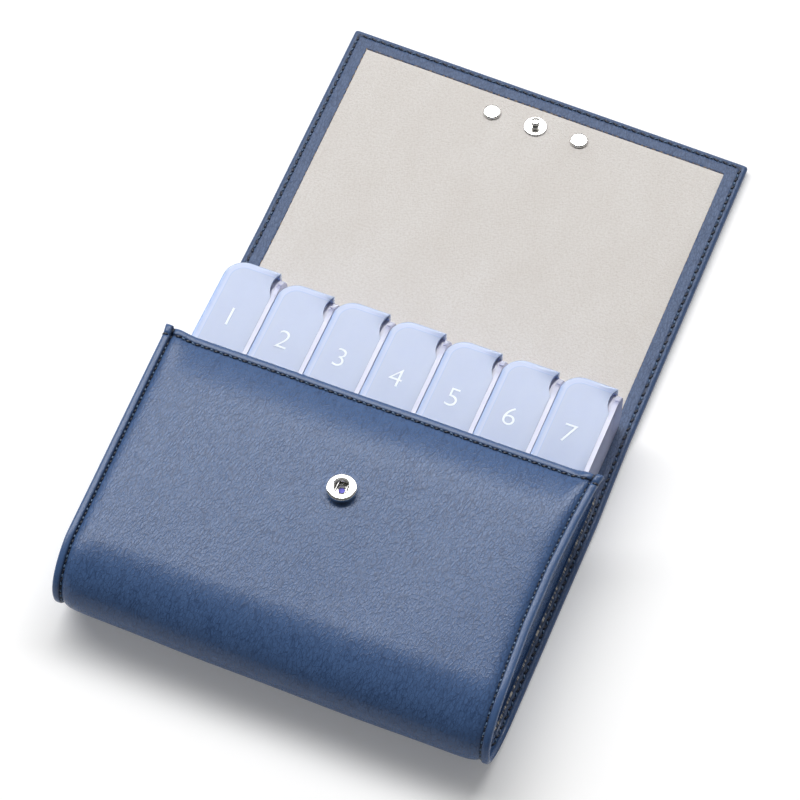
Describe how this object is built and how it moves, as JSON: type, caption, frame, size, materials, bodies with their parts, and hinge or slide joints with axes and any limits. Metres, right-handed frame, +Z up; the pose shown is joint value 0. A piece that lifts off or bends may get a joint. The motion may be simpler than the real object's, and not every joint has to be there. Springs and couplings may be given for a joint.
{
  "type": "weekly pill organizer",
  "caption": "Wallet-style pill organizer in leather cloth: a pocket holds lift-out day boxes with sliding covers, and a folding flap closes over them with a press stud.",
  "frame": {"origin": "centre of the opened case on the table, at the underside of its back panel", "axes": "+X across the case to the right, +Y from the case's bottom to the flap's free edge, +Z up"},
  "size_m": [0.155, 0.2624, 0.0316],
  "materials": {
    "leather": "satin pebbled leather cloth",
    "board": "plain pressed board",
    "suede": "matt suede cloth",
    "nickel": "bright nickel plate",
    "spring": "drawn wire",
    "clear_plastic": "clear moulded polystyrene",
    "tinted_plastic": "milky blue translucent moulding"
  },
  "bodies": {
    "case": {"outer_wrap": "leather", "front_board": "board", "back_board": "board", "pocket_lining": "suede", "gusset_left": "leather", "gusset_right": "leather", "snap_socket": "nickel", "socket_springs": "spring", "socket_eyelet": "nickel"},
    "flap_spine": {"spine_skin": "leather", "spine_board": "board", "spine_lining": "suede"},
    "flap_panel": {"flap_skin": "leather", "flap_board": "board", "flap_lining": "suede", "snap_stud": "nickel", "stud_cap": "nickel", "rivet_caps": "nickel", "rivet_posts": "nickel"},
    "day_box_1": {"tray_1": "clear_plastic"},
    "day_cover_1": {"cover_1": "tinted_plastic"},
    "day_box_2": {"tray_2": "clear_plastic"},
    "day_cover_2": {"cover_2": "tinted_plastic"},
    "day_box_3": {"tray_3": "clear_plastic"},
    "day_cover_3": {"cover_3": "tinted_plastic"},
    "day_box_4": {"tray_4": "clear_plastic"},
    "day_cover_4": {"cover_4": "tinted_plastic"},
    "day_box_5": {"tray_5": "clear_plastic"},
    "day_cover_5": {"cover_5": "tinted_plastic"},
    "day_box_6": {"tray_6": "clear_plastic"},
    "day_cover_6": {"cover_6": "tinted_plastic"},
    "day_box_7": {"tray_7": "clear_plastic"},
    "day_cover_7": {"cover_7": "tinted_plastic"}
  },
  "joints": [
    {"name": "flap_root_fold", "type": "hinge", "parent": "case", "child": "flap_spine", "pos_m": [0, 0.01135, 0.003], "axis": [-1, 0, 0], "range_deg": [-90, 0]},
    {"name": "flap_front_fold", "type": "hinge", "parent": "flap_spine", "child": "flap_panel", "pos_m": [0, 0.04115, 0.003], "axis": [-1, 0, 0], "range_deg": [-90, 0]},
    {"name": "box_1_lift", "type": "slide", "parent": "case", "child": "day_box_1", "axis": [0, 1, 0], "range_m": [0, 0.096]},
    {"name": "cover_1_slide", "type": "slide", "parent": "day_box_1", "child": "day_cover_1", "axis": [0, 1, 0], "range_m": [0, 0.118]},
    {"name": "box_2_lift", "type": "slide", "parent": "case", "child": "day_box_2", "axis": [0, 1, 0], "range_m": [0, 0.096]},
    {"name": "cover_2_slide", "type": "slide", "parent": "day_box_2", "child": "day_cover_2", "axis": [0, 1, 0], "range_m": [0, 0.118]},
    {"name": "box_3_lift", "type": "slide", "parent": "case", "child": "day_box_3", "axis": [0, 1, 0], "range_m": [0, 0.096]},
    {"name": "cover_3_slide", "type": "slide", "parent": "day_box_3", "child": "day_cover_3", "axis": [0, 1, 0], "range_m": [0, 0.118]},
    {"name": "box_4_lift", "type": "slide", "parent": "case", "child": "day_box_4", "axis": [0, 1, 0], "range_m": [0, 0.096]},
    {"name": "cover_4_slide", "type": "slide", "parent": "day_box_4", "child": "day_cover_4", "axis": [0, 1, 0], "range_m": [0, 0.118]},
    {"name": "box_5_lift", "type": "slide", "parent": "case", "child": "day_box_5", "axis": [0, 1, 0], "range_m": [0, 0.096]},
    {"name": "cover_5_slide", "type": "slide", "parent": "day_box_5", "child": "day_cover_5", "axis": [0, 1, 0], "range_m": [0, 0.118]},
    {"name": "box_6_lift", "type": "slide", "parent": "case", "child": "day_box_6", "axis": [0, 1, 0], "range_m": [0, 0.096]},
    {"name": "cover_6_slide", "type": "slide", "parent": "day_box_6", "child": "day_cover_6", "axis": [0, 1, 0], "range_m": [0, 0.118]},
    {"name": "box_7_lift", "type": "slide", "parent": "case", "child": "day_box_7", "axis": [0, 1, 0], "range_m": [0, 0.096]},
    {"name": "cover_7_slide", "type": "slide", "parent": "day_box_7", "child": "day_cover_7", "axis": [0, 1, 0], "range_m": [0, 0.118]}
  ]
}
